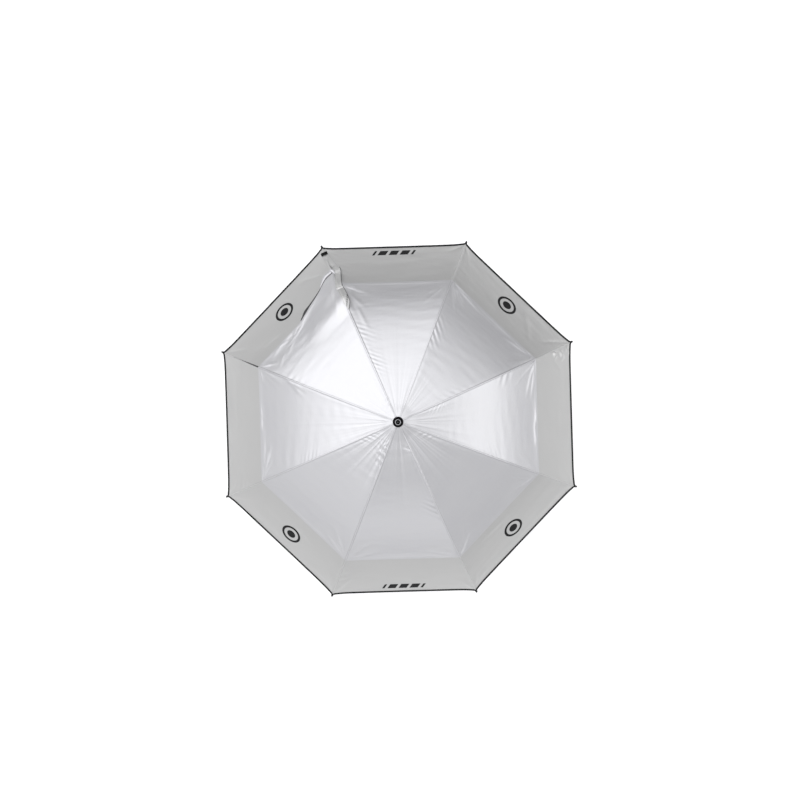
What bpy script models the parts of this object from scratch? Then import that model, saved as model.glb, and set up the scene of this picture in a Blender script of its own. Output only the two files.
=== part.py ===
"""Double-canopy golf umbrella, standing open on its handle.

The shaft is the Z axis and the origin is the middle of the handle's flat end.
Each rib lies in its own upright plane through the shaft. In that plane the
rib's line is worked out as (radius, height) pairs, and each piece of a rib
set is built once, with +X pointing away from the shaft, then repeated.
"""

import math

import bmesh
import bpy
from mathutils import Matrix, Vector

# Rib sets
RIB_COUNT = 8
FIRST_RIB_ANGLE = math.radians(24.2)
HALF_GORE = math.pi / RIB_COUNT

# The bent rib: straight at both ends, most curved where the stretcher pushes
CROWN_HEIGHT = 0.970
PIVOT_RADIUS = 0.0115
INNER_LENGTH = 0.386
OUTER_LENGTH = 0.391
CROWN_SLOPE = math.radians(9.0)
TIP_SLOPE = math.radians(45.0)
LINE_STEP = 0.0005

# Rod sizes and running gaps
RIB_RADIUS = 0.0018
STRETCHER_RADIUS = 0.0020
GAP = 0.0003
WIRE_RADIUS = 0.0006
WIRE_HOLE_RADIUS = 0.00095
RIVET_RADIUS = 0.0009
RIVET_HOLE_RADIUS = 0.00125

# Joint fittings on a rib
EYE_RADIUS = 0.0024
EYE_THICKNESS = 0.0024
NECK_THICKNESS = 0.0020
SADDLE_DROP = 0.0065
SLEEVE_RADIUS = 0.0027
SLEEVE_LENGTH = 0.010
CHEEK_THICKNESS = 0.0010
CHEEK_INSIDE = 0.0014
CHEEK_LENGTH = 0.0056
TANG_THICKNESS = 0.0016
TANG_LENGTH = 0.0070
FLEX_OFFSET = 0.0080
FLEX_HALF_GAP = 0.0008

# Shaft, crown and runner
SHAFT_RADIUS = 0.0070
SHAFT_BORE = 0.0054
SHAFT_BOTTOM = 0.0210
SHAFT_TOP = CROWN_HEIGHT + 0.0300
SLIDE_RADIUS = SHAFT_RADIUS + GAP
HUB_RADIUS = 0.0150
HUB_HALF_HEIGHT = 0.0055
HUB_CORE = 0.0088
GROOVE_FLOOR = 0.0104
GROOVE_HALF_HEIGHT = 0.0010
SLOT_WIDTH = 0.0042
SLEEVE_OUTER = 0.0104
RUNNER_SLEEVE = 0.0400
PIN_RADIUS = 0.0012
PIN_HOLE_RADIUS = 0.0016
PIN_DROP = 0.0200
TRACK_WIDTH = 0.0034
TRACK_END_ROOM = 0.0060

# Opening spring, inside the shaft
SPRING_RADIUS = 0.0040
SPRING_WIRE = 0.00055
SPRING_TURNS = 28
SPRING_POINTS_PER_TURN = 5

# Handle
GRIP_HEIGHT = 0.1320
GRIP_FLOOR = 0.0200
COLLAR_TOP = 0.1600
BUTTON_HEIGHT = 0.1460
BUTTON_RADIUS = 0.0050
BUTTON_LENGTH = 0.0080
BUTTON_INNER_END = 0.0122
BUTTON_POCKET_END = 0.0096

# Rain cap over the crown
CAP_BOTTOM = CROWN_HEIGHT + 0.0110
CAP_RADIUS = 0.0185
CAP_BORE_TOP = SHAFT_TOP + 0.0010

# Fabric: stations are lengths along the rib from the crown pivot
FABRIC_THICKNESS = 0.0005
LOWER_LIFT = 0.0032
CROWN_LIFT = 0.0080
CLOSE_LIFT = 0.0040
VENT_LIFT = 0.0075
CROWN_EASE = (0.0150, 0.0600)
VENT_EASE = (0.3600, 0.4080)
UPPER_STATIONS = (0.0015, 0.015, 0.030, 0.045, 0.060, 0.120, 0.180, 0.240, 0.300, 0.360)
UPPER_STATIONS += (0.376, 0.392, 0.408, 0.460, 0.510, 0.560)
LOWER_STATIONS = (0.410, 0.469, 0.527, 0.586, 0.645, 0.703, 0.762)
RIB_END = 0.7740
EDGE_GAP = 0.00016

# Rib tips and the closure strap
TIP_RADIUS = 0.0032
TIP_SOCKET = 0.0080
TIP_LENGTH = 0.0180
STRAP_RIB = 3
STRAP_LIFT = 0.0092
STRAP_START = 0.4500
STRAP_END = 0.7560
STRAP_EDGES = (-0.0240, 0.0040)
STRAP_THICKNESS = 0.0010

# Angle between the shaft and each stretcher when the umbrella is furled
CLOSED_CHORD = math.radians(2.6)


def rib_slope(station):
    """Downward slope of the rib at a length from the crown, by a curvature that peaks at the joint."""
    turning = TIP_SLOPE - CROWN_SLOPE
    peak = 2 * turning / (INNER_LENGTH + OUTER_LENGTH)
    if station <= INNER_LENGTH:
        return CROWN_SLOPE + peak * station**2 / (2 * INNER_LENGTH)
    past = station - INNER_LENGTH
    at_joint = CROWN_SLOPE + peak * INNER_LENGTH / 2
    return at_joint + peak * (past - past**2 / (2 * OUTER_LENGTH))


def rib_point(station):
    """(radius, height) of the rib's centre line at a length from the crown pivot."""
    steps = max(1, round(station / LINE_STEP))
    step = station / steps
    radius = PIVOT_RADIUS
    height = CROWN_HEIGHT
    for number in range(steps):
        slope = rib_slope((number + 0.5) * step)
        radius += step * math.cos(slope)
        height -= step * math.sin(slope)
    return radius, height


def lifted(station, lift):
    """(radius, height) of a point lifted off the rib's line at right angles to it."""
    radius, height = rib_point(station)
    slope = rib_slope(station)
    return radius + lift * math.sin(slope), height + lift * math.cos(slope)


def eased(station, ease, before, after):
    """A value that goes smoothly from before to after between the two stations of ease."""
    share = min(1.0, max(0.0, (station - ease[0]) / (ease[1] - ease[0])))
    return before + (after - before) * share * share * (3 - 2 * share)


def upper_lift(station):
    """The upper fabric clears the crown's hub, lies close to the ribs, then rises over the lower fabric."""
    if station < VENT_EASE[0]:
        return eased(station, CROWN_EASE, CROWN_LIFT, CLOSE_LIFT)
    return eased(station, VENT_EASE, CLOSE_LIFT, VENT_LIFT)


def lower_lift(_station):
    return LOWER_LIFT


def stretcher_pivot():
    """(radius, height) of the rivet that joins a stretcher to its rib."""
    return lifted(INNER_LENGTH, -SADDLE_DROP)


def flex_point():
    """(radius, height) of the point that a rib's outer half bends about."""
    return rib_point(INNER_LENGTH + FLEX_OFFSET)


def runner_height():
    """Height of the runner's pivots: each rib and its stretcher make two equal sides of a triangle."""
    return 2 * stretcher_pivot()[1] - CROWN_HEIGHT


def stretcher_length():
    radius, height = stretcher_pivot()
    return math.hypot(radius - PIVOT_RADIUS, CROWN_HEIGHT - height)


def rib_angle(number):
    return FIRST_RIB_ANGLE + (number - 1) * 2 * HALF_GORE


def in_plane(radius, height):
    return Vector((radius, 0.0, height))


def spaced(start, end, count):
    """count lengths from start to end, evenly spaced."""
    return [start + (end - start) * n / (count - 1) for n in range(count)]


def collection(name):
    made = bpy.data.collections.new(name)
    bpy.context.scene.collection.children.link(made)
    return made


def material(name, colour, roughness, metallic=0.0):
    made = bpy.data.materials.new(name)
    made.use_nodes = True
    shader = made.node_tree.nodes["Principled BSDF"]
    shader.inputs["Base Color"].default_value = (*colour, 1.0)
    shader.inputs["Roughness"].default_value = roughness
    shader.inputs["Metallic"].default_value = metallic
    return made


def place(obj, group):
    """Moves a new object from wherever it was linked into one collection."""
    for user in list(obj.users_collection):
        user.objects.unlink(obj)
    group.objects.link(obj)
    return obj


def cutter(obj):
    """Marks a shape that only cuts or joins another one."""
    place(obj, HELPERS)
    obj.hide_render = True
    obj.display_type = "WIRE"
    return obj


def box(name, size, centre, turn=0.0):
    """A box turned about Y by turn, with its scale applied."""
    bpy.ops.mesh.primitive_cube_add(size=1.0)
    obj = bpy.context.object
    obj.name = name
    shape = Matrix.Translation(centre) @ Matrix.Rotation(turn, 4, "Y")
    obj.data.transform(shape @ Matrix.Diagonal((*size, 1.0)))
    return obj


def round_bar(name, radius, length, centre, axis, sides=8):
    """A cylinder with its middle at centre, along axis."""
    bpy.ops.mesh.primitive_cylinder_add(radius=radius, depth=length, vertices=sides)
    obj = bpy.context.object
    obj.name = name
    turn = Vector((0, 0, 1)).rotation_difference(Vector(axis)).to_matrix().to_4x4()
    obj.data.transform(Matrix.Translation(centre) @ turn)
    return obj


def ring(name, radius, wire_radius, height):
    bpy.ops.mesh.primitive_torus_add(
        major_radius=radius, minor_radius=wire_radius, major_segments=32, minor_segments=4
    )
    obj = bpy.context.object
    obj.name = name
    obj.location.z = height
    return obj


def solid_of(obj, name):
    """A mesh object of what obj looks like with its modifiers, welded; obj is removed."""
    bpy.context.view_layer.update()
    seen = obj.evaluated_get(bpy.context.evaluated_depsgraph_get())
    mesh = bpy.data.meshes.new_from_object(seen)
    shape = bmesh.new()
    shape.from_mesh(mesh)
    bmesh.ops.remove_doubles(shape, verts=shape.verts, dist=1e-6)
    bmesh.ops.dissolve_degenerate(shape, edges=shape.edges, dist=1e-6)
    shape.to_mesh(mesh)
    shape.free()
    where = obj.matrix_world.copy()
    bpy.data.objects.remove(obj)
    made = bpy.data.objects.new(name, mesh)
    bpy.context.scene.collection.objects.link(made)
    made.matrix_world = where
    return made


def rod(name, points, radius, resolution=2):
    """A round bar through points, as a welded mesh."""
    curve = bpy.data.curves.new(name, "CURVE")
    curve.dimensions = "3D"
    curve.bevel_depth = radius
    curve.bevel_resolution = resolution
    curve.use_fill_caps = True
    line = curve.splines.new("POLY")
    line.points.add(len(points) - 1)
    for point, place_of_it in zip(line.points, points, strict=True):
        point.co = (*place_of_it, 1.0)
    obj = bpy.data.objects.new(name, curve)
    bpy.context.scene.collection.objects.link(obj)
    return solid_of(obj, name)


def turned(name, profile, closed=False, sides=24):
    """A profile of (radius, height) pairs turned round Z; it runs down its outer side."""
    mesh = bpy.data.meshes.new(name)
    points = [(radius, 0.0, height) for radius, height in profile]
    edges = [(n, n + 1) for n in range(len(points) - 1)]
    if closed:
        edges.append((len(points) - 1, 0))
    mesh.from_pydata(points, edges, [])
    obj = bpy.data.objects.new(name, mesh)
    bpy.context.scene.collection.objects.link(obj)
    screw = obj.modifiers.new("Screw", "SCREW")
    screw.axis = "Z"
    screw.angle = 2 * math.pi
    screw.steps = sides
    screw.render_steps = sides
    screw.use_merge_vertices = True
    screw.merge_threshold = 0.00001
    screw.use_smooth_shade = True
    return obj


def boolean(obj, other, operation):
    change = obj.modifiers.new(operation.title(), "BOOLEAN")
    change.operation = operation
    change.object = cutter(other)
    change.solver = "EXACT"


def united(name, shapes):
    """One solid from several that run into each other."""
    first = shapes[0]
    for other in shapes[1:]:
        boolean(first, other, "UNION")
    return solid_of(first, name)


def smooth(obj, angle=35.0):
    obj.data.shade_smooth()
    obj.data.set_sharp_from_angle(angle=math.radians(angle))
    return obj


def finished(obj, finish, group):
    obj.data.materials.clear()
    obj.data.materials.append(finish)
    return place(obj, group)


def repeated(source, name, pivot, finish):
    """A copy of source on each rib, with its origin on its pivot, which source's mesh is built about."""
    mesh = source.data
    mesh.materials.clear()
    mesh.materials.append(finish)
    bpy.data.objects.remove(source)
    for number in range(1, RIB_COUNT + 1):
        obj = bpy.data.objects.new(f"{name}_{number}", mesh)
        PARTS.objects.link(obj)
        turn = Matrix.Rotation(rib_angle(number), 4, "Z")
        obj.location = turn @ pivot
        obj.rotation_euler.z = rib_angle(number)


def rib_line(start, end, count, about):
    """Points of the rib's line between two stations, measured from a pivot."""
    return [in_plane(*rib_point(s)) - about for s in spaced(start, end, count)]


def make_inner_ribs():
    """From the crown wire to the bend: an eye, the rod, and the saddle that holds the stretcher's rivet."""
    pivot = in_plane(PIVOT_RADIUS, CROWN_HEIGHT)
    end = INNER_LENGTH + FLEX_OFFSET - FLEX_HALF_GAP
    root = 0.003
    bar = rod("rib_rod", rib_line(root, end, 7, pivot), RIB_RADIUS)
    eye = round_bar("rib_eye", EYE_RADIUS, EYE_THICKNESS, (0, 0, 0), (0, 1, 0))
    neck_size = (0.0060, NECK_THICKNESS, 0.0030)
    neck = box("rib_neck", neck_size, in_plane(0.0032, -0.0005), CROWN_SLOPE)
    slope = rib_slope(INNER_LENGTH)
    along = Vector((math.cos(slope), 0, -math.sin(slope)))
    middle = in_plane(*rib_point(INNER_LENGTH)) - pivot
    sleeve = round_bar("rib_sleeve", SLEEVE_RADIUS, SLEEVE_LENGTH, middle - 0.001 * along, along)
    rivet_at = in_plane(*stretcher_pivot()) - pivot
    cheek_height = SADDLE_DROP + EYE_RADIUS
    cheek_middle = middle + (rivet_at - middle).normalized() * cheek_height / 2
    shapes = [bar, eye, neck, sleeve]
    for side in (-1, 1):
        across = side * (CHEEK_INSIDE + CHEEK_THICKNESS / 2)
        centre = cheek_middle + Vector((0, across, 0))
        size = (CHEEK_LENGTH, CHEEK_THICKNESS, cheek_height)
        shapes.append(box("rib_cheek", size, centre, slope))
    rivet_length = 2 * (CHEEK_INSIDE + CHEEK_THICKNESS) + 0.0012
    shapes.append(round_bar("rib_rivet", RIVET_RADIUS, rivet_length, rivet_at, (0, 1, 0), 6))
    whole = united("rib_inner", shapes)
    hole = round_bar("rib_hole", WIRE_HOLE_RADIUS, 0.01, (0, 0, 0), (0, 1, 0), 8)
    boolean(whole, hole, "DIFFERENCE")
    whole = smooth(solid_of(whole, "rib_inner"))
    repeated(whole, "rib_inner", pivot, FIBREGLASS)


def make_outer_ribs():
    """From the bend to the tip, one plain rod."""
    pivot = in_plane(*flex_point())
    start = INNER_LENGTH + FLEX_OFFSET + FLEX_HALF_GAP
    bar = rod("rib_outer", rib_line(start, RIB_END, 7, pivot), RIB_RADIUS)
    repeated(smooth(bar), "rib_outer", pivot, FIBREGLASS)


def make_rib_tips():
    """Moulded ends: a socket over the rod, a collar for the hem and a round nose."""
    bore = RIB_RADIUS + GAP
    nose = 0.0022
    profile = [(0.0, TIP_LENGTH), (nose * 0.7, TIP_LENGTH - 0.0006), (nose, TIP_LENGTH - 0.0022)]
    profile += [(0.0020, 0.0125), (TIP_RADIUS, 0.0115), (TIP_RADIUS, 0.0095)]
    profile += [(0.0027, 0.0085), (0.0027, 0.0), (bore, 0.0), (bore, TIP_SOCKET), (0.0, TIP_SOCKET)]
    tip = solid_of(turned("rib_tip", profile, sides=8), "rib_tip")
    slope = rib_slope(RIB_END)
    turn = Matrix.Rotation(math.pi / 2 + slope, 4, "Y")
    back = Matrix.Translation((0, 0, GAP - TIP_SOCKET))
    tip.data.transform(turn @ back)
    repeated(smooth(tip), "rib_tip", in_plane(*rib_point(RIB_END)), BLACK_PLASTIC)


def make_stretchers():
    """Straight struts from the rib's rivet to the runner's wire, flat at both ends."""
    length = stretcher_length()
    middle = Vector((length / 2, 0, 0))
    bar = round_bar("strut", STRETCHER_RADIUS, length - 2 * 0.0055, middle, (1, 0, 0), 8)
    shapes = [bar]
    for end, way in ((0.0, 1), (length, -1)):
        tang = box("tang", (TANG_LENGTH, TANG_THICKNESS, 0.0032), (end + way * TANG_LENGTH / 2, 0, 0))
        shapes.append(tang)
        shapes.append(round_bar("eye", EYE_RADIUS, NECK_THICKNESS, (end, 0, 0), (0, 1, 0)))
    whole = united("stretcher", shapes)
    rivet = round_bar("rivet_hole", RIVET_HOLE_RADIUS, 0.01, (0, 0, 0), (0, 1, 0), 8)
    wire = round_bar("wire_hole", WIRE_HOLE_RADIUS, 0.01, (length, 0, 0), (0, 1, 0), 8)
    boolean(whole, rivet, "DIFFERENCE")
    boolean(whole, wire, "DIFFERENCE")
    whole = solid_of(whole, "stretcher")
    pivot = in_plane(*stretcher_pivot())
    inner_end = in_plane(PIVOT_RADIUS, runner_height())
    down_in = inner_end - pivot
    turn = math.atan2(-down_in.z, down_in.x)
    whole.data.transform(Matrix.Rotation(turn, 4, "Y"))
    repeated(smooth(whole), "stretcher", pivot, FIBREGLASS)


def ridged_sheet(name, lines):
    """A sheet through lines of three points each, the middle one on the ridge."""
    mesh = bpy.data.meshes.new(name)
    shape = bmesh.new()
    rows = [[shape.verts.new(point) for point in line] for line in lines]
    for upper, lower in zip(rows, rows[1:], strict=False):
        for n in range(2):
            shape.faces.new((upper[n], lower[n], lower[n + 1], upper[n + 1]))
    shape.normal_update()
    shape.to_mesh(mesh)
    shape.free()
    obj = bpy.data.objects.new(name, mesh)
    bpy.context.scene.collection.objects.link(obj)
    return obj


def fabric_panel(name, stations, lift_at):
    """Fabric from the middle of one gore over a rib to the middle of the next, flat between ribs."""
    lines = []
    for station in stations:
        radius, height = lifted(station, lift_at(station))
        reach = radius * math.sin(HALF_GORE) - EDGE_GAP
        x = radius - reach * math.sin(HALF_GORE)
        y = reach * math.cos(HALF_GORE)
        lines.append([(x, -y, height), (radius, 0, height), (x, y, height)])
    return ridged_sheet(name, lines)


def thickened(obj, name, thickness):
    """A closed sheet that hangs below the surface it was made from."""
    sheet = obj.modifiers.new("Solidify", "SOLIDIFY")
    sheet.thickness = thickness
    sheet.offset = -1.0
    sheet.use_even_offset = True
    return solid_of(obj, name)


def make_canopies():
    for name, stations, lift_at in (
        ("canopy_upper", UPPER_STATIONS, upper_lift),
        ("canopy_lower", LOWER_STATIONS, lower_lift),
    ):
        panel = thickened(fabric_panel(name, stations, lift_at), name, FABRIC_THICKNESS)
        repeated(panel, name, Vector((0, 0, 0)), SILVER_FABRIC)


def make_strap():
    """The closure strap, laid along a rib over both canopies, mostly on one side of the ridge."""
    lines = []
    for station in spaced(STRAP_START, STRAP_END, 8):
        radius, height = lifted(station, STRAP_LIFT)
        steepness = math.tan(HALF_GORE) * math.tan(rib_slope(station))
        left, right = [(radius, y, height - abs(y) * steepness) for y in STRAP_EDGES]
        lines.append([left, (radius, 0, height), right])
    strap = thickened(ridged_sheet("closure_strap", lines), "closure_strap", STRAP_THICKNESS)
    strap.rotation_euler.z = rib_angle(STRAP_RIB)
    finished(strap, SILVER_FABRIC, PARTS)


def hub_profile(top, sleeve):
    """The outline of a hub with a wire groove round it, and a sleeve below if it has one."""
    height = HUB_HALF_HEIGHT
    groove = GROOVE_HALF_HEIGHT
    profile = [(SLIDE_RADIUS, top), (HUB_RADIUS - 0.001, top), (HUB_RADIUS, top - 0.001)]
    profile += [(HUB_RADIUS, groove), (GROOVE_FLOOR, groove), (GROOVE_FLOOR, -groove)]
    profile += [(HUB_RADIUS, -groove), (HUB_RADIUS, 0.001 - height), (HUB_RADIUS - 0.001, -height)]
    if sleeve:
        profile += [(SLEEVE_OUTER, -height - 0.002), (SLEEVE_OUTER, -sleeve + 0.003)]
        profile += [(SLEEVE_OUTER + 0.0012, -sleeve + 0.002), (SLEEVE_OUTER + 0.0012, -sleeve)]
        profile += [(SLIDE_RADIUS, -sleeve)]
    else:
        profile += [(SLIDE_RADIUS, -height)]
    return profile


def slot_cutter(name):
    """One box for each rib's slot, all in one mesh."""
    mesh = bpy.data.meshes.new(name)
    shape = bmesh.new()
    depth = 0.010
    size = Matrix.Diagonal((depth, SLOT_WIDTH, 0.020, 1.0))
    for number in range(1, RIB_COUNT + 1):
        out = Matrix.Translation((HUB_CORE + depth / 2, 0, 0))
        turn = Matrix.Rotation(rib_angle(number), 4, "Z")
        bmesh.ops.create_cube(shape, size=1.0, matrix=turn @ out @ size)
    shape.to_mesh(mesh)
    shape.free()
    obj = bpy.data.objects.new(name, mesh)
    bpy.context.scene.collection.objects.link(obj)
    return obj


def make_crown():
    hub = turned("notch_blank", hub_profile(HUB_HALF_HEIGHT, 0.0), closed=True, sides=24)
    boolean(hub, slot_cutter("notch_slots"), "DIFFERENCE")
    hub = smooth(solid_of(hub, "top_notch"), 25.0)
    hub.location.z = CROWN_HEIGHT
    finished(hub, BLACK_PLASTIC, PARTS)
    wire = ring("notch_wire", PIVOT_RADIUS, WIRE_RADIUS, CROWN_HEIGHT)
    finished(smooth(wire), STEEL, PARTS)


def make_runner():
    profile = hub_profile(HUB_HALF_HEIGHT, RUNNER_SLEEVE)
    hub = turned("runner_blank", profile, closed=True, sides=24)
    boolean(hub, slot_cutter("runner_slots"), "DIFFERENCE")
    through = (0, 0, -PIN_DROP)
    boolean(hub, round_bar("pin_hole", PIN_HOLE_RADIUS, 0.030, through, (0, 1, 0), 10), "DIFFERENCE")
    hub = smooth(solid_of(hub, "runner"), 25.0)
    hub.location.z = runner_height()
    finished(hub, BLACK_PLASTIC, PARTS)
    wire = ring("runner_wire", PIVOT_RADIUS, WIRE_RADIUS, runner_height())
    finished(smooth(wire), STEEL, PARTS)


def make_plunger():
    """The slider inside the shaft, with the pin that drives the runner through the shaft's two tracks."""
    body = round_bar("plunger_body", SHAFT_BORE - 0.0005, 0.012, (0, 0, 0), (0, 0, 1), 16)
    pin = round_bar("plunger_pin", PIN_RADIUS, 2 * SLEEVE_OUTER - 0.0008, (0, 0, 0), (0, 1, 0), 10)
    plunger = smooth(united("spring_plunger", [body, pin]))
    plunger.location.z = runner_height() - PIN_DROP
    finished(plunger, STEEL, PARTS)


def make_spring():
    """The long opening spring, from the shaft's foot to the plunger."""
    bottom = GRIP_FLOOR + SPRING_WIRE + GAP
    top = runner_height() - PIN_DROP - 0.006 - SPRING_WIRE - GAP
    count = SPRING_TURNS * SPRING_POINTS_PER_TURN
    points = []
    for number in range(count + 1):
        turn = 2 * math.pi * number / SPRING_POINTS_PER_TURN
        height = bottom + (top - bottom) * number / count
        points.append((SPRING_RADIUS * math.cos(turn), SPRING_RADIUS * math.sin(turn), height))
    finished(rod("main_spring", points, SPRING_WIRE, 0), STEEL, PARTS)


def make_shaft():
    profile = [(SHAFT_RADIUS, SHAFT_TOP), (SHAFT_RADIUS, SHAFT_BOTTOM)]
    profile += [(SHAFT_BORE, SHAFT_BOTTOM), (SHAFT_BORE, SHAFT_TOP)]
    tube = turned("shaft_blank", profile, closed=True, sides=24)
    closed_height = CROWN_HEIGHT - 2 * stretcher_length() * math.cos(CLOSED_CHORD)
    low = closed_height - PIN_DROP - TRACK_END_ROOM
    high = runner_height() - PIN_DROP + TRACK_END_ROOM
    size = (TRACK_WIDTH, 0.030, high - low)
    boolean(tube, box("shaft_tracks", size, (0, 0, (low + high) / 2)), "DIFFERENCE")
    finished(smooth(solid_of(tube, "shaft")), GLOSS_BLACK, PARTS)


def make_rain_cap():
    """A flared round cap over the fabric, with a bead round it and a small nose on top."""
    foot = CAP_BOTTOM
    profile = [(0.0, foot + 0.0390), (0.0022, foot + 0.0384), (0.0036, foot + 0.0366)]
    profile += [(0.0040, foot + 0.0340), (0.0052, foot + 0.0315), (0.0088, foot + 0.0290)]
    profile += [(0.0098, foot + 0.0265), (0.0104, foot + 0.0140), (0.0120, foot + 0.0085)]
    profile += [(0.0150, foot + 0.0052), (0.0175, foot + 0.0036), (CAP_RADIUS, foot + 0.0018)]
    profile += [(CAP_RADIUS - 0.0003, foot), (SLIDE_RADIUS, foot)]
    profile += [(SLIDE_RADIUS, CAP_BORE_TOP), (0.0, CAP_BORE_TOP)]
    cap = solid_of(turned("ferrule_cap", profile, sides=24), "ferrule_cap")
    finished(smooth(cap, 40.0), GLOSS_BLACK, PARTS)


def make_handle():
    """A straight foam grip, and above it the collar that holds the button."""
    top = GRIP_HEIGHT
    profile = [(SLIDE_RADIUS, top), (0.0150, top), (0.0162, top - 0.0015), (0.0165, top - 0.020)]
    profile += [(0.0158, top - 0.050), (0.0165, top - 0.085), (0.0174, 0.020), (0.0172, 0.006)]
    profile += [(0.0160, 0.0015), (0.0145, 0.0), (0.0, 0.0)]
    profile = [(0.0, GRIP_FLOOR), (SLIDE_RADIUS, GRIP_FLOOR), *profile]
    grip = solid_of(turned("handle_grip", profile, sides=20), "handle_grip")
    finished(smooth(grip), BLACK_FOAM, PARTS)
    low = GRIP_HEIGHT + GAP
    profile = [(SLIDE_RADIUS, COLLAR_TOP), (0.0130, COLLAR_TOP), (0.0148, COLLAR_TOP - 0.0015)]
    profile += [(0.0158, COLLAR_TOP - 0.006), (0.0160, low + 0.001), (0.0155, low), (SLIDE_RADIUS, low)]
    collar = turned("collar_blank", profile, closed=True, sides=24)
    pocket_length = 0.020
    middle = (0, -(BUTTON_POCKET_END + pocket_length / 2), BUTTON_HEIGHT)
    pocket = round_bar("button_pocket", BUTTON_RADIUS + GAP, pocket_length, middle, (0, 1, 0), 20)
    boolean(collar, pocket, "DIFFERENCE")
    finished(smooth(solid_of(collar, "handle_collar")), BLACK_PLASTIC, PARTS)


def make_button():
    """A domed push button whose origin is its inner end, on its axis."""
    profile = [(0.0, BUTTON_LENGTH), (0.0028, BUTTON_LENGTH - 0.0003), (0.0043, BUTTON_LENGTH - 0.0011)]
    profile += [(BUTTON_RADIUS, BUTTON_LENGTH - 0.0024), (BUTTON_RADIUS, 0.0), (0.0, 0.0)]
    button = solid_of(turned("push_button", profile, sides=20), "push_button")
    button.data.transform(Matrix.Rotation(math.pi / 2, 4, "X"))
    button.location = (0, -BUTTON_INNER_END, BUTTON_HEIGHT)
    finished(smooth(button), BLACK_PLASTIC, PARTS)


for leftover in list(bpy.data.objects):
    bpy.data.objects.remove(leftover)

PARTS = collection("golf_umbrella")
HELPERS = collection("cutters")
GLOSS_BLACK = material("gloss_black", (0.012, 0.012, 0.013), 0.18)
BLACK_PLASTIC = material("black_plastic", (0.020, 0.020, 0.021), 0.45)
BLACK_FOAM = material("black_foam", (0.028, 0.028, 0.028), 0.90)
FIBREGLASS = material("fibreglass", (0.030, 0.030, 0.031), 0.35)
STEEL = material("steel", (0.55, 0.55, 0.56), 0.30, 1.0)
SILVER_FABRIC = material("silver_fabric", (0.62, 0.62, 0.64), 0.42, 0.35)

make_shaft()
make_crown()
make_runner()
make_plunger()
make_spring()
make_rain_cap()
make_handle()
make_button()
make_inner_ribs()
make_outer_ribs()
make_rib_tips()
make_stretchers()
make_canopies()
make_strap()
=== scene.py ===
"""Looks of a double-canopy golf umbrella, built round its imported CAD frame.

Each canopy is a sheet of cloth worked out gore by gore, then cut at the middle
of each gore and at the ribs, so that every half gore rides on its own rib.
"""
import math

import bmesh
import bpy
import numpy as np
from mathutils import Matrix, Vector


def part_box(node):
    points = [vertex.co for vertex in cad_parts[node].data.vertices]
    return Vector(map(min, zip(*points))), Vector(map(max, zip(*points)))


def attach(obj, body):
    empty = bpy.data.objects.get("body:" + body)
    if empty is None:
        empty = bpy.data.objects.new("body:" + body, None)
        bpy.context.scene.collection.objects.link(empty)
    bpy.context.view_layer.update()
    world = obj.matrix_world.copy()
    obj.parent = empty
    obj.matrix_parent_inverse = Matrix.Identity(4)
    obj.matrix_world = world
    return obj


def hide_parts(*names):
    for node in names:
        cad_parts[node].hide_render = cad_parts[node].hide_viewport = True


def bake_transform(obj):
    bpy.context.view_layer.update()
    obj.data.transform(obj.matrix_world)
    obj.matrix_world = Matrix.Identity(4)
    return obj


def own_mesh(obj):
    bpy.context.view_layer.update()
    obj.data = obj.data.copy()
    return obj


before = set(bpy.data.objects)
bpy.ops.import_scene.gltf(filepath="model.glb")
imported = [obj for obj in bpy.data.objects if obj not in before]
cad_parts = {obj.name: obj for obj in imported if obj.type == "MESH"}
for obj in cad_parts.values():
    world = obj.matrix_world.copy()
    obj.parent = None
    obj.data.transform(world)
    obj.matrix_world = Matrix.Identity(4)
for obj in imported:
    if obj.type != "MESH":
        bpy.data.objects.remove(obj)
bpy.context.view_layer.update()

# The frame's layout, in metres and radians
RIB_COUNT = 8
FIRST_RIB_ANGLE = math.radians(24.2)
HALF_GORE = math.pi / RIB_COUNT
CROWN_HEIGHT = 0.97
PIVOT_RADIUS = 0.0115
INNER_LENGTH = 0.386
OUTER_LENGTH = 0.391
CROWN_SLOPE = math.radians(9.0)
TIP_SLOPE = math.radians(45.0)
FLEX_STATION = 0.394
LINE_STEP = 0.0005
LINE_END = 0.8

# The cloth: stations are lengths along the rib from its pivot at the crown
FLEX_SKEW = 0.335
UPPER_START, UPPER_END = 0.0015, 0.56
LOWER_START, LOWER_END = 0.41, 0.768
HEM_POINT, HEM_POINT_FROM = 0.008, 0.7
LOWER_LIFT = 0.0032
CROWN_LIFT, CLOSE_LIFT, VENT_LIFT = 0.008, 0.004, 0.0075
CROWN_EASE = (0.015, 0.06)
VENT_EASE = (0.28, 0.49)
THICKNESS = 0.0004
SEAM_HALF = 0.0026
SEAM_RISE = 0.0006
HEM_BAND = 0.0085
BINDING = 0.0108
BINDING_RISE = 0.0005
STRAP_RIB = 3
NEAR_COLUMNS = np.array([0.0, 0.0014, 0.0026, 0.0036, 0.006, 0.0095])
CALM_REACH = 0.01
UPPER_SEED, UPPER_CREASE_SEED, LOWER_SEED, LOWER_FOLD_SEED = 10, 40, 70, 90


def smooth(x):
    """0 below 0, 1 above 1, eased between."""
    x = np.clip(x, 0.0, 1.0)
    return x * x * (3 - 2 * x)


def eased(station, ease, before, after):
    return before + (after - before) * smooth((station - ease[0]) / (ease[1] - ease[0]))


def upper_lift(station):
    crown = eased(station, CROWN_EASE, CROWN_LIFT, CLOSE_LIFT)
    vent = eased(station, VENT_EASE, CLOSE_LIFT, VENT_LIFT)
    return np.where(station < VENT_EASE[0], crown, vent)


def lower_lift(station):
    return np.full_like(station, LOWER_LIFT)


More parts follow.
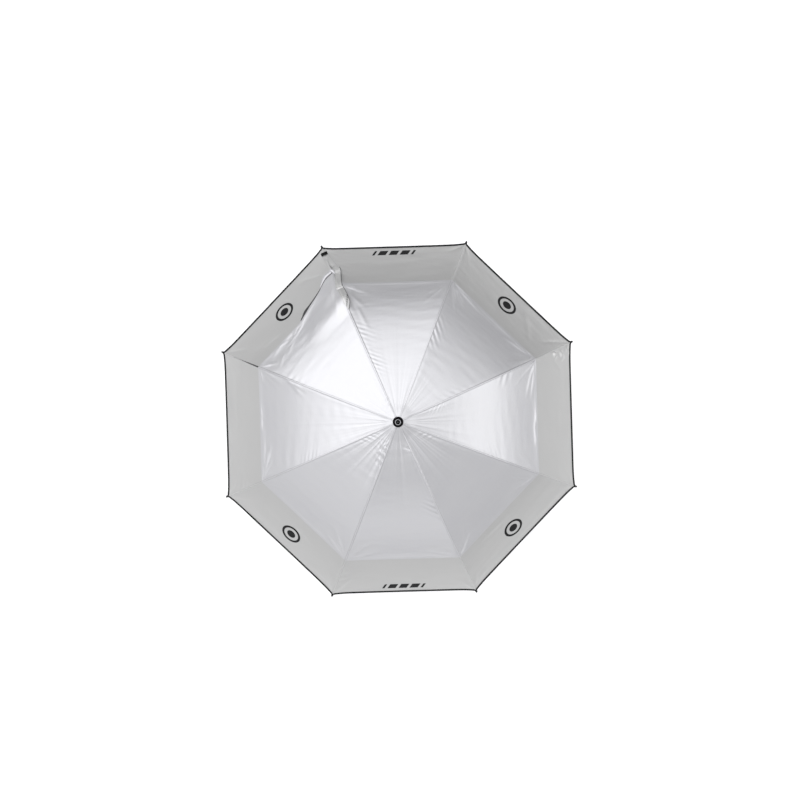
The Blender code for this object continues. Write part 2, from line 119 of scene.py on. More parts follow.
def rib_slope(station):
    turning = TIP_SLOPE - CROWN_SLOPE
    peak = 2 * turning / (INNER_LENGTH + OUTER_LENGTH)
    past = station - INNER_LENGTH
    inner = CROWN_SLOPE + peak * station**2 / (2 * INNER_LENGTH)
    outer = CROWN_SLOPE + peak * INNER_LENGTH / 2 + peak * (past - past**2 / (2 * OUTER_LENGTH))
    return np.where(station <= INNER_LENGTH, inner, outer)


LINE_STATIONS = np.arange(0.0, LINE_END + LINE_STEP / 2, LINE_STEP)
STEP_SLOPES = rib_slope(LINE_STATIONS[:-1] + LINE_STEP / 2)
LINE_RADII = PIVOT_RADIUS + np.concatenate([[0], np.cumsum(LINE_STEP * np.cos(STEP_SLOPES))])
LINE_HEIGHTS = CROWN_HEIGHT - np.concatenate([[0], np.cumsum(LINE_STEP * np.sin(STEP_SLOPES))])


def lifted(station, lift):
    """(radius, height) of points lifted off the rib's line at right angles to it."""
    station = np.asarray(station, float)
    slope = rib_slope(station)
    radius = np.interp(station, LINE_STATIONS, LINE_RADII) + lift * np.sin(slope)
    height = np.interp(station, LINE_STATIONS, LINE_HEIGHTS) + lift * np.cos(slope)
    return radius, height


def rib_angle(rib):
    return FIRST_RIB_ANGLE + (rib - 1) * 2 * HALF_GORE


def rib_matrix(rib):
    return Matrix.Rotation(rib_angle(rib), 4, "Z")


def round_point(radius, turn, height):
    return Vector((radius * math.cos(turn), radius * math.sin(turn), height))


def unit(vectors):
    return vectors / np.linalg.norm(vectors, axis=-1, keepdims=True)


def placed(name, data):
    """A new object in the scene."""
    obj = bpy.data.objects.new(name, data)
    bpy.context.scene.collection.objects.link(obj)
    return obj


def direction(azimuth, zenith):
    """A unit vector by its two angles in degrees."""
    a, z = math.radians(azimuth), math.radians(zenith)
    return Vector((math.sin(z) * math.cos(a), math.sin(z) * math.sin(a), math.cos(z)))


# ---- materials

PRINT_BLACK = (0.005, 0.005, 0.0055)
CLOTH_METAL = 0.86
STITCH_PITCH = 0.0027
THREAD_PITCH = 0.0009
RING_STATION, RING_RADIUS, DOT_RADIUS = 0.672, 0.034, 0.017
BARS_STATION, BARS_HALF_LENGTH, BAR_PITCH = 0.729, 0.074, 0.04


class Nodes:
    """A material's or a world's node tree, with short ways to add to it."""

    def __init__(self, owner):
        owner.use_nodes = True
        self.owner = owner
        self.tree = owner.node_tree
        self.shader = self.tree.nodes.get("Principled BSDF")

    def feed(self, socket, value):
        if isinstance(value, (int, float, tuple)):
            socket.default_value = value
        else:
            self.tree.links.new(value, socket)

    def add(self, kind, *values, **settings):
        """A new node, with its first inputs fed in order."""
        node = self.tree.nodes.new(kind)
        for key, value in settings.items():
            setattr(node, key, value)
        for socket, value in zip(node.inputs, values):
            self.feed(socket, value)
        return node

    def math(self, operation, a, b=0.0):
        return self.add("ShaderNodeMath", a, b, operation=operation).outputs[0]

    def times(self, a, b):
        return self.math("MULTIPLY", a, b)

    def plus(self, a, b):
        return self.math("ADD", a, b)

    def minus(self, a, b):
        return self.math("SUBTRACT", a, b)

    def length(self, a, b):
        """Length of a vector with those two parts."""
        return self.math("SQRT", self.plus(self.times(a, a), self.times(b, b)))

    def mix(self, share, *colours):
        node = self.add("ShaderNodeMix", share, data_type="RGBA")
        for socket, colour in zip((node.inputs[6], node.inputs[7]), colours):
            self.feed(socket, (*colour, 1) if isinstance(colour, tuple) else colour)
        return node.outputs[2]

    def span(self, value, low, high, to_low, to_high):
        return self.add("ShaderNodeMapRange", value, low, high, to_low, to_high).outputs[0]

    def near(self, value, middle, half, soft):
        """1 where value is within half of middle, falling to 0 over soft."""
        return self.span(self.math("ABSOLUTE", self.minus(value, middle)), half, half + soft, 1.0, 0.0)

    def wave(self, value, pitch):
        return self.math("SINE", self.times(value, 2 * math.pi / pitch))

    def weave(self, across, along):
        """Height of a plain weave."""
        return self.times(self.wave(across, THREAD_PITCH), self.wave(along, THREAD_PITCH))

    def dashes(self, value, pitch, share):
        """1 along each stitch of a row, 0 between them."""
        return self.math("LESS_THAN", self.math("FRACT", self.times(value, 1 / pitch)), share)

    def noise(self, vector, scale, detail=2.0):
        """Noise of one scale, or of its own scale along each axis."""
        if isinstance(scale, tuple):
            vector = self.add("ShaderNodeVectorMath", vector, scale, operation="MULTIPLY").outputs[0]
            scale = 1.0
        node = self.add("ShaderNodeTexNoise", vector)
        node.inputs["Scale"].default_value = scale
        node.inputs["Detail"].default_value = detail
        return node.outputs["Fac"]

    def object_space(self):
        return self.add("ShaderNodeTexCoord").outputs["Object"]

    def uv(self, layer):
        return self.add("ShaderNodeUVMap", uv_map=layer).outputs[0]

    def parts(self, vector):
        return self.add("ShaderNodeSeparateXYZ", vector).outputs[:2]

    def bump(self, height, strength, distance, before=None):
        node = self.add("ShaderNodeBump")
        for name, value in (("Strength", strength), ("Distance", distance), ("Height", height)):
            self.feed(node.inputs[name], value)
        if before is not None:
            self.feed(node.inputs["Normal"], before)
        return node.outputs[0]

    def set(self, **values):
        for key, value in values.items():
            self.feed(self.shader.inputs[key.replace("_", " ")], value)
        return self.owner


def new_material(name):
    return Nodes(bpy.data.materials.new(name))


def silver_cloth(name, tints, mark=None):
    """Silver-coated satin: fine weave, streaks of sheen, lock stitches by the seams and the hem, and a
    painted shadow line beside each seam.
    """
    mat = new_material(name)
    cloth = mat.uv("cloth")
    across, along = mat.parts(cloth)
    seam, hem = mat.parts(mat.uv("edges"))
    streaks = mat.noise(cloth, (9.0, 210.0, 1.0), 3.0)
    clouds = mat.noise(cloth, (7.0, 11.0, 1.0), 2.0)
    grain = mat.noise(cloth, (900.0, 900.0, 1.0), 1.0)
    seam_row = mat.times(mat.near(seam, 0.0018, 0.0002, 0.0001), mat.dashes(along, STITCH_PITCH, 0.68))
    hem_row = mat.times(mat.near(hem, 0.007, 0.0002, 0.0001), mat.dashes(across, STITCH_PITCH, 0.68))
    thread = mat.math("MAXIMUM", seam_row, hem_row)
    # Painted shadow: a darker line beside each seam, where the seam's fold casts shade.
    painted_seam_shadow = mat.near(seam, 0.0031, 0.0005, 0.0003)
    tone = mat.mix(mat.times(streaks, 0.1), mat.mix(clouds, *tints), (0.43, 0.43, 0.45))
    tone = mat.mix(mat.times(thread, 0.25), tone, (0.35, 0.35, 0.36))
    tone = mat.mix(mat.times(painted_seam_shadow, 0.3), tone, (0.16, 0.16, 0.17))
    metal = CLOTH_METAL
    if mark is not None:
        printed = mark(mat, across, along)
        tone = mat.mix(printed, tone, PRINT_BLACK)
        bare = mat.minus(1.0, printed)
        metal = mat.times(bare, CLOTH_METAL)
        mat.set(Specular_IOR_Level=mat.span(bare, 0.0, 1.0, 0.12, 0.5))
    fine = mat.bump(mat.weave(across, along), 0.05, 0.0002)
    satin = mat.bump(mat.plus(streaks, mat.times(grain, 0.25)), 0.1, 0.0012, fine)
    stitched = mat.bump(thread, 0.12, 0.0003, satin)
    rough = mat.plus(mat.times(clouds, 0.07), 0.355)
    return mat.set(Base_Color=tone, Metallic=metal, Roughness=rough, Normal=stitched)


def ring_mark(mat, across, along):
    """A plain ring round a dot."""
    reach = mat.length(across, mat.minus(along, RING_STATION))
    ring = mat.near(reach, RING_RADIUS, 0.0045, 0.0004)
    return mat.math("MAXIMUM", ring, mat.near(reach, 0.0, DOT_RADIUS, 0.0004))


def bar_mark(mat, across, along):
    """Four plain slanted bars."""
    slant = mat.plus(across, mat.times(mat.minus(along, BARS_STATION), 0.45))
    band = mat.near(along, BARS_STATION, 0.0125, 0.0004)
    row = mat.near(slant, 0.0, BARS_HALF_LENGTH, 0.0004)
    step = mat.math("FRACT", mat.plus(mat.times(slant, 1 / BAR_PITCH), 100.5))
    return mat.times(mat.times(band, row), mat.near(step, 0.5, 0.36, 0.01))


def black_cloth():
    """The canopy's black lining."""
    mat = new_material("black_lining")
    cloth = mat.uv("cloth")
    streaks = mat.noise(cloth, (9.0, 210.0, 1.0), 3.0)
    tone = mat.mix(streaks, (0.01, 0.01, 0.011), (0.024, 0.024, 0.026))
    satin = mat.bump(streaks, 0.12, 0.0012, mat.bump(mat.weave(*mat.parts(cloth)), 0.08, 0.0002))
    rough = mat.span(streaks, 0.3, 0.7, 0.5, 0.62)
    return mat.set(Base_Color=tone, Roughness=rough, Normal=satin, Sheen_Weight=0.15)


def binding_tape():
    """The black tape round the hem: ribbed across, with a row of stitches."""
    mat = new_material("binding_tape")
    across = mat.parts(mat.uv("cloth"))[0]
    hem = mat.parts(mat.uv("edges"))[1]
    row = mat.times(mat.near(hem, 0.0042, 0.0002, 0.0001), mat.dashes(across, 0.003, 0.65))
    tone = mat.mix(row, PRINT_BLACK, (0.02, 0.02, 0.021))
    stitched = mat.bump(row, 0.5, 0.0004, mat.bump(mat.wave(across, 0.0011), 0.25, 0.0003))
    return mat.set(Base_Color=tone, Roughness=0.62, Normal=stitched, Specular_IOR_Level=0.2)


def lightened(colour, times, plus=0.0):
    return tuple(min(1.0, c * times + plus) for c in colour)


def uneven(name, tones, gloss, slow, fine, relief, swells=None, **more):
    """A finish whose slow noise mixes its tones and its gloss, and whose fine noise gives its relief."""
    mat = new_material(name)
    place = mat.object_space()
    unevenness = mat.noise(place, *slow)
    normal = mat.bump(mat.noise(place, *fine), *relief)
    if swells is not None:
        normal = mat.bump(unevenness, *swells, normal)
    return mat.set(Base_Color=mat.mix(unevenness, *tones), Roughness=mat.span(unevenness, *gloss),
                   Normal=normal, **more)


def moulded(name, colour, roughness, scuffs=0.05, grain=900.0, strength=0.1, **more):
    """Moulded plastic: fine grain, slow unevenness and a little wear in its gloss."""
    return uneven(
        name, (colour, lightened(colour, 1.7, 0.004)), (0.3, 0.7, roughness - scuffs, roughness + scuffs),
        (45.0, 3.0), (grain, 2.0), (strength, 0.0003), **more)


def cap_finish():
    """Gloss black, with a painted reflection: a grey metal dot at the middle of its nose."""
    mat = new_material("gloss_black")
    place = mat.object_space()
    dust = mat.noise(place, 700.0, 3.0)
    # Painted reflection: a small grey metal dot where the glossy nose shines.
    painted_reflection_dot = mat.near(mat.length(*mat.parts(place)), 0.0, 0.001, 0.0003)
    black = mat.mix(dust, (0.002, 0.002, 0.0022), (0.004, 0.004, 0.0045))
    tone = mat.mix(painted_reflection_dot, black, (0.16, 0.16, 0.17))
    level = mat.span(painted_reflection_dot, 0.0, 1.0, 0.06, 0.5)
    return mat.set(Base_Color=tone, Metallic=painted_reflection_dot, Roughness=mat.plus(mat.times(dust, 0.1), 0.06),
                   Specular_IOR_Level=level, Normal=mat.bump(mat.noise(place, 260.0, 1.0), 0.03, 0.0003))


def drawn_rod(name, colour, roughness):
    """Drawn fibreglass: long fine streaks."""
    mat = new_material(name)
    place = mat.object_space()
    speck = mat.noise(place, 1500.0, 2.0)
    tone = mat.mix(mat.noise(place, 90.0, 3.0), colour, lightened(colour, 1.6))
    rough = mat.span(speck, 0.3, 0.7, roughness, roughness + 0.12)
    return mat.set(Base_Color=tone, Roughness=rough, Normal=mat.bump(speck, 0.12, 0.0002))


def foam(name):
    """Closed-cell foam: fine pits, matt, slightly polished by the hand."""
    mat = new_material(name)
    place = mat.object_space()
    cells = mat.add("ShaderNodeTexVoronoi", place)
    cells.inputs["Scale"].default_value = 850.0
    slow = mat.noise(place, 38.0, 3.0)
    tone = mat.mix(slow, (0.018, 0.018, 0.019), (0.034, 0.034, 0.035))
    pits = mat.bump(cells.outputs["Distance"], 0.35, 0.0006)
    rough = mat.span(slow, 0.3, 0.7, 0.78, 0.92)
    return mat.set(Base_Color=tone, Roughness=rough, Normal=mat.bump(slow, 0.15, 0.002, pits))


UPPER_TINTS = ((0.505, 0.505, 0.522), (0.53, 0.53, 0.538))
# The skirt is the same silver cloth as the upper canopy, painted a little darker: painted shade, for a skirt
# that faces the horizon.
SHADED_SKIRT_TINTS = ((0.468, 0.468, 0.462), (0.488, 0.488, 0.48))
SHAFT_COLOUR = (0.014, 0.014, 0.015)
SILVER = silver_cloth("silver_cloth", UPPER_TINTS)
SILVER_SKIRT = silver_cloth("silver_cloth_skirt", SHADED_SKIRT_TINTS)
SILVER_RING = silver_cloth("silver_cloth_ring", SHADED_SKIRT_TINTS, ring_mark)
SILVER_BARS = silver_cloth("silver_cloth_bars", SHADED_SKIRT_TINTS, bar_mark)
ROLLED = uneven(
    "silver_rolled", ((0.44, 0.44, 0.455), (0.49, 0.49, 0.5)), (0.3, 0.7, 0.42, 0.52),
    (60.0, 3.0), (900.0, 2.0), (0.08, 0.0002), (0.45, 0.003), Metallic=CLOTH_METAL)
LINING = black_cloth()
BINDING_TAPE = binding_tape()
HOOK_TAPE = moulded("hook_tape", (0.003, 0.003, 0.003), 0.85, 0.05, 2600.0, 0.6, Specular_IOR_Level=0.1)
LINING_PLAIN = moulded("tie_cloth", (0.01, 0.01, 0.011), 0.7, 0.05, 2200.0, 0.4)
GLOSS = cap_finish()
SHAFT_BLACK = uneven(
    "shaft_black", (SHAFT_COLOUR, lightened(SHAFT_COLOUR, 1.5)), (0.35, 0.75, 0.22, 0.34),
    (700.0, 3.0), (260.0, 1.0), (0.04, 0.0003), Coat_Weight=0.5, Coat_Roughness=0.08)
PLASTIC = moulded("black_plastic", (0.016, 0.016, 0.017), 0.42)
TIP_PLASTIC = moulded("tip_plastic", (0.004, 0.004, 0.0045), 0.45, Specular_IOR_Level=0.15)
BUTTON_PLASTIC = moulded("button_plastic", (0.02, 0.02, 0.021), 0.34, 0.04, 1400.0)
FIBREGLASS = drawn_rod("fibreglass", (0.022, 0.022, 0.023), 0.3)
SLEEVE = moulded("heat_shrink", (0.012, 0.012, 0.012), 0.5, 0.04, 1600.0)
SCRATCHES = ((300.0, 300.0, 2200.0), 3.0)
STEEL = uneven(
    "wire_steel", ((0.5, 0.5, 0.51), (0.66, 0.66, 0.67)), (0.3, 0.7, 0.24, 0.38),
    SCRATCHES, SCRATCHES, (0.1, 0.0002), Metallic=1.0)
FOAM = foam("grip_foam")
# Grey metal for the cap's bead: a painted highlight on the black cap.
PAINTED_SHINE_METAL = uneven(
    "polished_bead", ((0.24, 0.24, 0.25), (0.34, 0.34, 0.35)), (0.3, 0.7, 0.08, 0.18),
    (500.0, 3.0), (500.0, 3.0), (0.03, 0.0002), Metallic=1.0)


# ---- cloth relief


# Ripples: gore, side of it (-1 by its first rib), start, end, reach, pitch, height (all mm), lean
UPPER_RIPPLES = (
    (1, 1, 250, 430, 30, 27, 1.1, 0.8),
    (2, 1, 150, 290, 36, 19, 0.8, 0.5),
    (2, 1, 270, 400, 45, 22, 0.5, 0.5),
    (8, 1, 80, 200, 24, 17, 1.3, 0.6),
    (8, 1, 360, 450, 30, 30, 1.2, 0.4),
    (5, 1, 50, 190, 26, 24, 2.6, 0.3),
    (6, -1, 10, 130, 13, 10.5, 0.6, 0.2),
    (6, 1, 70, 120, 18, 26, 2.6, 0.5),
    (6, 1, 270, 400, 34, 24, 0.9, 0.7),
    (4, 1, 260, 400, 36, 16, 0.7, 0.2),
    (5, -1, 50, 160, 20, 18, 1, 0.4),
    (8, -1, 260, 420, 34, 19, 0.7, 0.3),
    (7, 1, 50, 150, 18, 20, 0.8, 0.3),
    (3, -1, 20, 110, 20, 22, 1, 0.4),
    (3, 1, 330, 450, 22, 26, 0.6, -0.3),
    (1, -1, 100, 300, 24, 26, 0.5, 0.4),
    (7, -1, 120, 300, 22, 24, 0.4, 0.4),
)
LOWER_RIPPLES = (
    (2, 1, 570, 700, 40, 30, 0.6, 0.5),
    (6, -1, 600, 740, 40, 32, 0.5, 0.4),
    (4, 1, 600, 740, 30, 28, 0.5, 0.3),
)

# Folds: gore, start (share across, station in mm), end, half width, height (mm), how soon it is highest
UPPER_FOLDS = (
    (4, (-0.97, 550), (-0.72, 536), 4.5, 2.6, 0.6),
    (4, (-0.95, 520), (-0.86, 440), 6, 1.2, 0.7),
    (4, (0.97, 552), (0.36, 506), 7, 4, 0.7),
    (4, (0.96, 550), (0.1, 538), 4.5, 2.6, 0.7),
    (4, (-0.35, 555), (-0.1, 550), 3, 1.2, 1.0),
    (4, (-0.15, 551), (0.15, 555), 3, 1.4, 1.0),
    (4, (0.05, 545), (0.5, 552), 3.5, 1.2, 1.0),
    (4, (-0.985, 430), (-0.86, 330), 5, 2.2, 0.6),
    (4, (-0.985, 420), (-0.66, 345), 6, 1.2, 0.6),
    (4, (-0.97, 400), (-0.93, 280), 3.5, 1.2, 0.8),
    (8, (0.97, 552), (0.25, 532), 6, 4.2, 0.6),
    (8, (0.96, 550), (0.3, 502), 6.5, 3, 0.7),
    (8, (0.18, 556), (-0.22, 547), 3.8, 2, 1.0),
    (8, (-0.08, 545), (-0.55, 550), 4.2, 2.6, 1.0),
    (3, (-0.2, 554), (0.35, 520), 5, 1, 1.0),
    (3, (0.05, 550), (0.2, 540), 3.5, 1.4, 1.0),
    (3, (0.12, 538), (0.42, 522), 4, 1.2, 1.0),
    (3, (0.3, 545), (0.45, 548), 3.5, 1, 1.0),
    (3, (0.22, 525), (0.55, 495), 5, 0.9, 1.0),
    (3, (0.4, 552), (0.75, 540), 4.5, 0.9, 1.0),
    (3, (0.5, 520), (0.93, 470), 6, 0.7, 1.0),
    (3, (-0.45, 500), (0.05, 465), 8, 0.6, 1.0),
    (6, (0.68, 86), (0.88, 80), 4.2, 1.7, 1.0),
    (5, (0.5, 84), (0.86, 76), 3.8, 1.6, 1.0),
    (5, (0.3, 124), (0.76, 112), 4.2, 1.7, 1.0),
    (5, (0.6, 104), (0.9, 96), 3.4, 1, 1.0),
    (2, (0.95, 552), (0.45, 505), 6, 2, 0.7),
    (2, (0.94, 540), (0.62, 430), 7, 1.8, 0.7),
    (2, (0.8, 460), (0.7, 330), 7, 1.2, 1.0),
    (5, (0.95, 552), (0.4, 525), 5.5, 2, 0.7),
    (5, (0.95, 548), (0.5, 470), 6, 1.6, 0.7),
    (6, (0.95, 550), (0.35, 520), 6, 1.9, 0.7),
    (6, (0.95, 553), (0.3, 545), 4.5, 1.6, 0.7),
    (6, (-0.95, 550), (-0.35, 515), 5.5, 1.8, 0.7),
    (7, (-0.95, 550), (-0.5, 480), 7, 2.2, 0.7),
    (7, (0.95, 550), (0.35, 500), 6, 1.4, 0.7),
    (1, (0.95, 550), (0.55, 500), 5, 2, 0.7),
    (1, (0.94, 552), (0.2, 538), 5, 2.4, 0.7),
    (1, (-0.94, 552), (-0.3, 530), 5.5, 2.2, 0.7),
)
LOWER_FOLDS = (
    (3, (-0.9, 640), (-0.4, 740), 9, 1.2, 1.0),
    (3, (0.2, 600), (0.9, 640), 10, 1, 1.0),
    (1, (-0.7, 600), (-0.2, 740), 12, 0.8, 1.0),
    (7, (-0.6, 590), (0.3, 600), 9, 0.9, 1.0),
    (5, (-0.3, 600), (0.6, 640), 11, 0.9, 1.0),
    (8, (0.6, 720), (0.95, 640), 7, 1.2, 1.0),
    (8, (0.99, 664), (0.87, 682), 9, 7.2, 1.0),
    (8, (0.965, 702), (0.8, 724), 8, 6.4, 1.0),
    (8, (0.97, 738), (0.83, 752), 7, 5.4, 1.0),
)
# The radial creases that storage leaves: gore, station where each one fades
CREASE_ENDS = {1: 0.36, 2: 0.44, 3: 0.22, 4: 0.47, 5: 0.34, 6: 0.38, 7: 0.33, 8: 0.54}


def ripples(edge, along, start, end, reach, pitch, height, lean):
    """Short ripples that run out from a seam between two stations; sizes in mm, as in the lists."""
    start, end, reach, pitch, height = (size / 1000 for size in (start, end, reach, pitch, height))
    share = np.clip((along - start) / (end - start), 0, 1)
    out_part = (1 - np.exp(-((edge / 0.004) ** 2))) * np.exp(-((edge / reach) ** 2))
    wave = np.cos(2 * np.pi * (along + lean * edge) / pitch)
    return height * np.sin(np.pi * share) ** 2 * out_part * wave


def raised_fold(across, along, start, end, width, height, fade):
    """A fold from start to end, as (share across the gore, station), tapering off at its ends."""
    x, from_x = (share * float(ridge_half(station)) for share, station in (end, start))
    step = (x - from_x, end[1] - start[1])
    length = math.hypot(*step)
    share = ((across - from_x) * step[0] + (along - start[1]) * step[1]) / length**2
    off = ((across - from_x) * step[1] - (along - start[1]) * step[0]) / length
    inside = np.clip(share, 0, 1)
    taper = np.sin(np.pi * inside**fade) * ((share > 0) & (share < 1))
    return height * taper * np.exp(-((off / (width * (0.6 + 0.8 * inside))) ** 2))


def listed_relief(gore, ripple_list, fold_list, across, along, half):
    """(ripples, folds) of a gore, from the lists above."""
    rippled = folded = 0.0
    for listed, side, *shape in ripple_list:
        if listed == gore:
            rippled = rippled + ripples(half - side * across, along, *shape) * (side * across > 0)
    for listed, *shape in fold_list:
        if listed == gore:
            (share, station), (to_share, to_station), width, height, fade = shape
            start, end = (share, station / 1000), (to_share, to_station / 1000)
            folded = folded + raised_fold(across, along, start, end, width / 1000, height / 1000, fade)
    return rippled, folded


def seam_relief(edge, narrow):
    """The felled seam over a rib, and the slight valley beside it."""
    band = 1 - smooth((edge - SEAM_HALF * narrow) / (0.001 * narrow))
    valley = np.exp(-(((edge - 0.006) / 0.0035) ** 2))
    return SEAM_RISE * band - 0.00045 * valley * smooth(narrow)


def sag_relief(across, half, along):
    """Cloth draws in a little between the ribs."""
    return -0.003 * (1 - (across / half) ** 2) * np.exp(-(((along - 0.5) / 0.22) ** 2))


def swell(seed, across, along, pitches, height, count=14):
    """Slow unevenness: plane waves, mostly along the rib's direction."""
    draw = np.random.default_rng(seed)
    total = np.zeros_like(across + along)
    for _ in range(count):
        pitch = draw.uniform(*pitches)
        turn = draw.normal(0.0, 0.22)
        phase = draw.uniform(0, 2 * np.pi)
        wave = (along * math.cos(turn) + across * math.sin(turn)) / pitch
        total += np.cos(2 * np.pi * wave + phase) * pitch
    return height * total / (count**0.5 * pitches[1])


def upper_relief(gore, across, along, half, edge):
    narrow = np.minimum(1.0, half / 0.06)
    calm = smooth(edge / CALM_REACH)
    rippled, folded = listed_relief(gore, UPPER_RIPPLES, UPPER_FOLDS, across, along, half)
    relief = seam_relief(edge, narrow) + sag_relief(across, half, along) + rippled
    relief += swell(UPPER_SEED + gore, across, along, (0.012, 0.05), 0.00022) * calm * narrow
    crease = smooth((along - 0.02) / 0.05) * (1 - smooth((along - CREASE_ENDS[gore] + 0.1) / 0.1))
    relief += 0.00016 * crease * np.exp(-((across / 0.0028) ** 2))
    draw = np.random.default_rng(UPPER_CREASE_SEED + gore)
    for share in (-0.72, -0.45, -0.2, 0.24, 0.5, 0.76):
        at = share + draw.uniform(-0.08, 0.08)
        stop = draw.uniform(0.12, 0.4)
        tall = draw.uniform(0.0001, 0.0004)
        line = np.exp(-(((across - at * half) / (0.0016 + 0.012 * along)) ** 2))
        relief += tall * line * smooth((along - 0.01) / 0.03) * (1 - smooth(along / stop))
    steep = 0.075 * np.exp(-((along / 0.16) ** 2)) + 0.012 * np.exp(-((along / 0.4) ** 2))
    for count in (3.0, 5.0, 7.5, 11.0):
        wave = np.cos(np.pi * count * across / half + draw.uniform(0, 2 * np.pi))
        relief += 0.6 * steep * half / count / np.pi * wave * smooth(edge / (0.15 * half))
    for side in (-1, 1):
        for _ in range(4):
            lean = draw.uniform(0.02, 0.34)
            start = (side * 0.985, UPPER_END - 0.006)
            end = (side * (0.985 - lean * 1.4), UPPER_END - draw.uniform(0.05, 0.13))
            tall = draw.uniform(0.0004, 0.0013)
            folded = folded + raised_fold(across, along, start, end, 0.0042, tall, 0.6)
    hem = UPPER_END - along
    relief += folded * calm + 0.0004 * (1 - smooth((hem - HEM_BAND) / 0.001))
    lift = 0.0016 + 0.0008 * math.sin(2.4 * gore)
    return relief + lift * (1 - (across / half) ** 2) * (1 - smooth(hem / 0.03))


def lower_relief(gore, across, along, half, edge):
    rippled, folded = listed_relief(gore, LOWER_RIPPLES, LOWER_FOLDS, across, along, half)
    folded = folded * smooth((along - 0.545) / 0.03)
    relief = seam_relief(edge, 1.0) * smooth((along - 0.42) / 0.02) + sag_relief(across, half, along)
    draw = np.random.default_rng(LOWER_FOLD_SEED + gore)
    for side in (-1, 1):
        for _ in range(3):
            start = (side * 0.98, LOWER_END - 0.012)
            end = (side * draw.uniform(0.7, 0.93), LOWER_END - draw.uniform(0.05, 0.14))
            tall = draw.uniform(0.0003, 0.0008)
            folded = folded + raised_fold(across, along, start, end, 0.0055, tall, 0.6)
    folded = folded + swell(LOWER_SEED + gore, across, along, (0.016, 0.07), 0.0002)
    hem_rise = BINDING_RISE * (1 - smooth((LOWER_END - along - BINDING) / 0.0006))
    return relief + rippled + folded * smooth(edge / CALM_REACH) + hem_rise


def ridge_half(station):
    """Half a gore's width at a station."""
    return lifted(station, 0.0)[0] * math.sin(HALF_GORE)


# The upper canopy's loose corner over rib 3: how far it is pulled out, and how high it stands
PULL, PULL_FROM = 0.056, 0.455
PUFF = 0.0135
# Distance from the rib, and the share of the pull there
PULL_COURSE = (
    (0.0, 0.93), (0.014, 0.97), (0.034, 1.0), (0.055, 0.82), (0.067, 0.68),
    (0.096, 0.5), (0.123, 0.38), (0.163, 0.13), (0.188, 0.0),
)


def softened(place, course, step):
    """A course of (place, value) pairs, read at a place and averaged over two steps to both sides."""
    return np.mean([np.interp(place + n * step, *zip(*course)) for n in (-2, -1, 0, 1, 2)], axis=0)


def pull_share(edge):
    return softened(edge, PULL_COURSE, 0.004)


def loose_corner(gore, edge, along):
    """(how far out, how high) the loose corner moves the cloth, by the distance from its rib."""
    if gore == STRAP_RIB:
        reach = pull_share(edge)
    elif gore == STRAP_RIB - 1:
        reach = pull_share(0.0) * np.exp(-((edge / 0.013) ** 2))
    else:
        reach = 0.0 * edge
    out = smooth((along - PULL_FROM) / (UPPER_END - PULL_FROM))
    stand = smooth((along - 0.412) / 0.064)
    valley = smooth((along - 0.478) / 0.042)
    return PULL * reach * out, PUFF * reach * stand * (1 - 0.7 * valley)


def upper_moves(gore, across, half, along):
    """(how far out, how high) the upper canopy is moved from its plain course."""
    own = half + across if gore == STRAP_RIB else half - across
    return loose_corner(gore, own, along)


def lower_moves(_gore, across, half, along):
    """The same for the lower canopy: its hem runs out to the rib tips in short points."""
    near_rib = np.exp(-(half - np.abs(across)) / 0.02)
    pull = HEM_POINT * near_rib * smooth((along - HEM_POINT_FROM) / (LOWER_END - HEM_POINT_FROM))
    return pull, np.zeros_like(pull)


# ---- cloth mesh


def upper_skew(stations):
    """How far the upper canopy's rows run outwards between the ribs: most at the flexing point."""
    rise = smooth((stations - 0.05) / (FLEX_STATION - 0.05))
    return FLEX_SKEW * rise * (1 - smooth((stations - FLEX_STATION) / (UPPER_END - FLEX_STATION)))


def lower_skew(stations):
    return FLEX_SKEW * (1 - smooth((stations - LOWER_START) / 0.3))


def gore_grid(gore, stations, count, lift_at, relief_at, skew_at, moves_at):
    """Points, normals and layout of a gore's cloth: rows along the rib, columns from one rib to the next."""
    along = stations[:, None]
    half = ridge_half(stations)[:, None]
    near_scale = np.minimum(1.0, half / 0.04)
    first = NEAR_COLUMNS[None, :] * near_scale
    shares = np.linspace(0, 1, count + 1)[1:][None, :]
    rest = first[:, -1:] + (half - first[:, -1:]) * shares
    out = np.concatenate([first, rest], axis=1)
    across = np.concatenate([out - half, (half - out)[:, -2::-1]], axis=1)
    along = along + skew_at(along) * (half - np.abs(across))
    across = across * ridge_half(along) / half
    half = ridge_half(along)
    edge = half - np.abs(across)
    pull, rise = moves_at(gore, across, half, along)
    relief = relief_at(gore, across, along, half, edge) + rise

    def surface(station, height):
        radius, level = lifted(station, lift_at(station) + height)
        width = radius * math.sin(HALF_GORE)
        return radius * math.cos(HALF_GORE), across / half * width, level

    points = np.stack(surface(along + pull, relief), axis=-1)
    normals = unit(np.cross(np.gradient(points, axis=0), np.gradient(points, axis=1)))
    turn = rib_angle(gore) + HALF_GORE
    cos, sin = math.cos(turn), math.sin(turn)
    rotation = np.array([[cos, sin, 0], [-sin, cos, 0], [0, 0, 1]])
    return points @ rotation, normals @ rotation, across, along + np.zeros_like(across), edge


